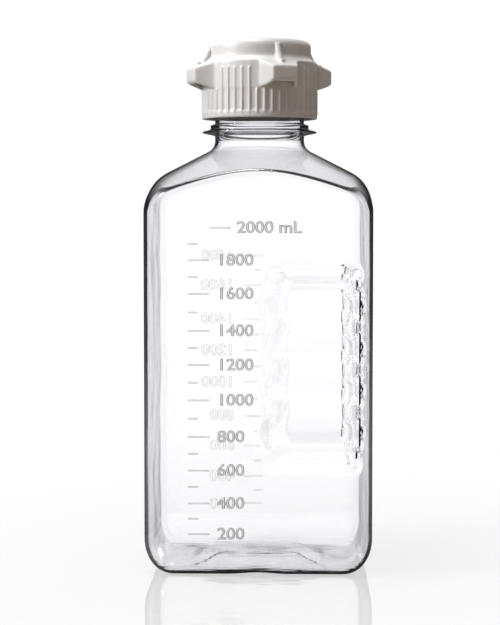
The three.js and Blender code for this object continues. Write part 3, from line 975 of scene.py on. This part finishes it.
def clear_plastic(name, painted_shade, rough_low, rough_high):
    """See-through moulded plastic: slow ripples from blowing, streaks near the base, violet in depth.

    It is painted darker where it is seen at a slant, a painted shade for the dimmer surroundings seen
    through a slanted wall, and the front marks' tops are rougher and carry a painted shade.
    """
    material, nodes, links, shader = new_material(name)
    # Painted shade: the wall is painted darker the more it is turned from the eye.
    slant = nodes.new("ShaderNodeLayerWeight")
    slant_shade = ramp_node(nodes, links, slant.outputs["Facing"], [
        (position, tuple(channel * share for channel, share in zip(painted_shade, shares)))
        for position, shares in SLANT_SHADE_STOPS])
    # The front marks' tops are painted darker with a painted shade, and made rougher.
    top = nodes.new("ShaderNodeAttribute")
    top.attribute_name = MARK_TOPS
    wall, top_shade, mixed = colour_mix_node(nodes, links, top.outputs["Fac"], "MULTIPLY")
    links.new(slant_shade.outputs["Color"], wall)
    top_shade.default_value = (*MARK_TOP_SHADE, 1)
    links.new(mixed, shader.inputs["Base Color"])
    shader.inputs["Transmission Weight"].default_value = 1
    shader.inputs["IOR"].default_value = CLEAR_INDEX

    handling = noise_node(nodes, links, scale=90, detail=4, roughness=0.6)
    polish = range_node(nodes, links, handling.outputs["Fac"], rough_low, rough_high)
    rough = math_node(nodes, links, "MULTIPLY_ADD", top.outputs["Fac"], MARK_TOP_ROUGHNESS, polish)
    links.new(rough, shader.inputs["Roughness"])

    ripple = noise_node(nodes, links, scale=34, detail=2, roughness=0.4)
    rippled = bump_node(nodes, links, ripple.outputs["Fac"], strength=0.25, distance=0.0012)
    streaks = noise_node(nodes, links, scale=40, detail=3, roughness=0.55, stretch=STREAK_STRETCH)
    place = nodes.new("ShaderNodeTexCoord")
    height = nodes.new("ShaderNodeSeparateXYZ")
    links.new(place.outputs["Object"], height.inputs[0])
    near_base = range_node(nodes, links, height.outputs["Z"], 0.9, 0.04,
                           STREAKS_BOTTOM * MM, STREAKS_TOP * MM)
    streaked = bump_node(nodes, links, streaks.outputs["Fac"], near_base, 0.0006, under=rippled)
    links.new(streaked, shader.inputs["Normal"])

    depth = nodes.new("ShaderNodeVolumeAbsorption")
    depth.inputs["Color"].default_value = (*DEPTH_COLOUR, 1)
    depth.inputs["Density"].default_value = DEPTH_DENSITY
    links.new(depth.outputs["Volume"], nodes["Material Output"].inputs["Volume"])
    return material


def moulded(name, mottle_scale, shades, subsurface, scatter, wear, rough_range, grain):
    """An opaque moulding: mottled colour, light that sinks in, uneven polish and a fine grain.

    wear is its noise's scale and detail, and grain its noise's scale and strength.
    """
    material, nodes, links, shader = new_material(name)
    mottle = noise_node(nodes, links, mottle_scale, detail=5, roughness=0.6)
    colour = ramp_node(nodes, links, mottle.outputs["Fac"], [(0.3, shades[0]), (0.7, shades[1])])
    links.new(colour.outputs["Color"], shader.inputs["Base Color"])
    shader.inputs["Subsurface Weight"].default_value = subsurface
    shader.inputs["Subsurface Radius"].default_value = scatter
    worn = noise_node(nodes, links, *wear, roughness=0.6)
    rough = range_node(nodes, links, worn.outputs["Fac"], *rough_range)
    links.new(rough, shader.inputs["Roughness"])
    texture = noise_node(nodes, links, grain[0], detail=3, roughness=0.6)
    grained = bump_node(nodes, links, texture.outputs["Fac"], grain[1], distance=0.0001)
    links.new(grained, shader.inputs["Normal"])
    return material, shader


def cap_plastic():
    """Satin polypropylene: warm light grey, with flow mottling and a fine grain."""
    material, shader = moulded("cap_plastic", mottle_scale=60, shades=CAP_SHADES, subsurface=0.06,
                               scatter=(0.0014, 0.0011, 0.0008), wear=(140, 4),
                               rough_range=(0.3, 0.5), grain=(2200, 0.12))
    shader.inputs["IOR"].default_value = CAP_INDEX
    return material


def liner_rubber():
    """Matt white silicone with a dusty, uneven face."""
    material, _ = moulded("liner_rubber", mottle_scale=300, shades=LINER_SHADES, subsurface=0.1,
                          scatter=(0.001, 0.001, 0.001), wear=(300, 5),
                          rough_range=(0.5, 0.75), grain=(1500, 0.15))
    return material


# ---------------------------------------------------------------- stage

def surroundings(nodes, links, path, mirrored, straight):
    """Strength of the white surroundings for a ray, by how it got there.

    Once a ray has been trapped inside a wall it meets dark flags, which draws the wall's edges.
    straight is what clear walls show, and mirrored what a plain reflection shows.
    """
    glossy, through = path.outputs["Glossy Depth"], path.outputs["Transmission Depth"]
    once = math_node(nodes, links, "COMPARE", glossy, 1, 0.5)
    few_crossings = math_node(nodes, links, "LESS_THAN", through, TRAPPED_CROSSINGS + 0.5)
    trapped = math_node(nodes, links, "MULTIPLY", once, few_crossings)
    twice = math_node(nodes, links, "GREATER_THAN", glossy, 1.5)
    trapped = math_node(nodes, links, "MAXIMUM", trapped, twice)
    outside = math_node(nodes, links, "LESS_THAN", through, 0.5)
    plain = math_node(nodes, links, "MULTIPLY", once, outside)
    strength = mix_values(nodes, links, trapped, straight, SEEN_TRAPPED)
    return mix_values(nodes, links, plain, strength, mirrored)


def scattered(nodes, links, path):
    """1 for light that reaches a matt surface, even through clear walls, and 0 for any other."""
    return math_node(nodes, links, "GREATER_THAN", path.outputs["Diffuse Depth"], 0.5)


def make_world():
    """White surroundings for the eye, with a soft light from the left and dark flags."""
    world = bpy.data.worlds.new("studio")
    bpy.context.scene.world = world
    world.use_nodes = True
    nodes, links = world.node_tree.nodes, world.node_tree.links
    background = nodes["Background"]
    place = nodes.new("ShaderNodeTexCoord")
    axes = nodes.new("ShaderNodeSeparateXYZ")
    links.new(place.outputs["Generated"], axes.inputs[0])
    path = nodes.new("ShaderNodeLightPath")

    # The bottle's own reflections are dark low down; the floor's mirror sees plain white.
    up = range_node(nodes, links, axes.outputs["Z"], *SEEN_IN_BOTTLE, *SEEN_IN_BOTTLE_RISE)
    mirrored = mix_values(nodes, links, path.outputs["Is Singular Ray"], up, SEEN_IN_FLOOR)
    strength = surroundings(nodes, links, path, mirrored, SEEN_THROUGH)

    # Matt surfaces are lit cooler from the left and warmer, and less, from the right.
    lit = scattered(nodes, links, path)
    rightwards = range_node(nodes, links, axes.outputs["X"], 0, 1, -1, 1)
    side = ramp_node(nodes, links, rightwards, [(0.0, LEFT_LIGHT), (1.0, RIGHT_LIGHT)])
    white, tinted, mixed = colour_mix_node(nodes, links, lit)
    white.default_value = (1, 1, 1, 1)
    links.new(side.outputs["Color"], tinted)
    links.new(mixed, background.inputs["Color"])
    soft = mix_values(nodes, links, lit, strength, WORLD_LIGHT)
    final = mix_values(nodes, links, path.outputs["Is Camera Ray"], soft, BACKDROP)
    links.new(final, background.inputs["Strength"])


def floor_material():
    """A floor that glows white to the eye with a painted shade near the bottle, fades into the backdrop
    and mirrors a little nearby.
    """
    material, nodes, links, shader = new_material("floor")
    nodes.remove(shader)
    place = nodes.new("ShaderNodeTexCoord")
    distance = nodes.new("ShaderNodeVectorMath")
    distance.operation = "LENGTH"
    links.new(place.outputs["Object"], distance.inputs[0])
    reach = distance.outputs["Value"]
    path = nodes.new("ShaderNodeLightPath")

    # Painted shade: the floor glows darker near the bottle, to the eye and through clear walls.
    shade_and_fade = range_node(nodes, links, reach, *FLOOR_SHADE_NEAR_FAR, *FLOOR_FADE)
    straight = range_node(nodes, links, reach, SEEN_THROUGH_FLOOR, SEEN_THROUGH, *FLOOR_SEEN_FADE)
    strength = surroundings(nodes, links, path, FLOOR_IN_BOTTLE, straight)
    lit = scattered(nodes, links, path)
    strength = mix_values(nodes, links, lit, strength, FLOOR_LIGHT)
    strength = mix_values(nodes, links, path.outputs["Is Camera Ray"], strength, shade_and_fade)
    glow = nodes.new("ShaderNodeEmission")
    links.new(strength, glow.inputs["Strength"])
    white, warm, mixed = colour_mix_node(nodes, links, lit)
    white.default_value = (1, 1, 1, 1)
    warm.default_value = (*FLOOR_WARMTH, 1)
    links.new(mixed, glow.inputs["Color"])

    paint = nodes.new("ShaderNodeBsdfDiffuse")
    paint.inputs["Color"].default_value = (*FLOOR_PAINT, 1)
    mirror = nodes.new("ShaderNodeBsdfGlossy")
    mirror.inputs["Roughness"].default_value = 0
    painted = nodes.new("ShaderNodeAddShader")
    links.new(glow.outputs[0], painted.inputs[0])
    links.new(paint.outputs[0], painted.inputs[1])
    polished = nodes.new("ShaderNodeMixShader")
    polish = range_node(nodes, links, reach, FLOOR_MIRROR, 0, *FLOOR_MIRROR_FADE)
    links.new(polish, polished.inputs["Fac"])
    links.new(painted.outputs[0], polished.inputs[1])
    links.new(mirror.outputs[0], polished.inputs[2])
    links.new(polished.outputs[0], nodes["Material Output"].inputs["Surface"])
    return material


def make_floor():
    """A wide pale floor just under the bottle."""
    mesh = bpy.data.meshes.new("floor")
    size = FLOOR_HALF_SIZE
    mesh.from_pydata([(-size, -size, 0), (size, -size, 0), (size, size, 0), (-size, size, 0)],
                     [], [(0, 1, 2, 3)])
    floor = bpy.data.objects.new("floor", mesh)
    bpy.context.scene.collection.objects.link(floor)
    floor.location.z = -FLOOR_GAP
    mesh.materials.append(floor_material())


def area_light(name, place, size, power, colour):
    """A square lamp aimed at the upper bottle, hidden from the camera and through clear walls."""
    light = bpy.data.lights.new(name, "AREA")
    light.shape = "RECTANGLE"
    light.size, light.size_y = size, size
    light.energy = power
    light.color = colour
    made = bpy.data.objects.new(name, light)
    bpy.context.scene.collection.objects.link(made)
    made.visible_camera = False
    made.visible_transmission = False
    made.location = place
    made.rotation_euler = (Vector(LIGHT_AIM) - Vector(place)).to_track_quat("-Z", "Y").to_euler()
    return made


def make_lights():
    """A cool key from the left, a wide lamp overhead, and a warm one behind that isn't mirrored."""
    area_light("key", (-1.0, -0.42, 0.66), size=0.3, power=14, colour=(0.94, 0.96, 1))
    area_light("top", (-0.2, -0.1, 1.4), size=0.5, power=13, colour=(1, 1, 0.99))
    back = area_light("back", (0.5, 1.1, 0.8), size=0.6, power=6, colour=(1, 0.96, 0.9))
    back.visible_glossy = False


def make_camera():
    """The camera looks slightly down at the front face from a little to the right."""
    data = bpy.data.cameras.new("camera")
    data.lens = CAMERA_LENS
    data.sensor_width = CAMERA_SENSOR
    camera = bpy.data.objects.new("camera", data)
    bpy.context.scene.collection.objects.link(camera)
    azimuth, pitch = math.radians(CAMERA_AZIMUTH), math.radians(CAMERA_PITCH)
    back = Vector((math.sin(azimuth) * math.cos(pitch), -math.cos(azimuth) * math.cos(pitch),
                   math.sin(pitch)))
    right = Vector((math.cos(azimuth), math.sin(azimuth), 0))
    camera.location = right * CAMERA_AIM_SIDE + Vector((0, 0, CAMERA_AIM_Z)) + back * CAMERA_DISTANCE
    camera.rotation_mode = "QUATERNION"
    camera.rotation_quaternion = (-back).to_track_quat("-Z", "Y")
    data.clip_start, data.clip_end = CAMERA_CLIP
    bpy.context.scene.camera = camera


# ---------------------------------------------------------------- assembly

def place(made, body, node, slot_name):
    """Puts a finished piece on its body, in the place of its CAD node."""
    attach(made, body)
    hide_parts(node)


def add_materials(made, *materials):
    for material in materials:
        made.data.materials.append(material)


bpy.context.scene.view_settings.view_transform = "Standard"
make_camera()
make_world()
make_floor()
make_lights()

bottle = make_bottle()
add_materials(bottle,
              clear_plastic("clear_plastic", *WALL_FINISH),
              # The marks' side walls are painted dark: painted shade that draws their outlines.
              clear_plastic("raised_mark_sides_painted_shade", *FRONT_MARK_SHADE_AND_FINISH),
              clear_plastic("rear_mark_sides_painted_shade", *REAR_MARK_SHADE_AND_FINISH))
add_marks(bottle)
place(bottle, "bottle", "bottle", "clear_plastic")

cap = make_cap()
add_materials(cap, cap_plastic())
place(cap, "cap", "screw_cap", "cap_plastic")

liner = make_liner()
add_materials(liner, liner_rubber())
place(liner, "liner", "sealing_liner", "liner_rubber")

bpy.context.view_layer.update()
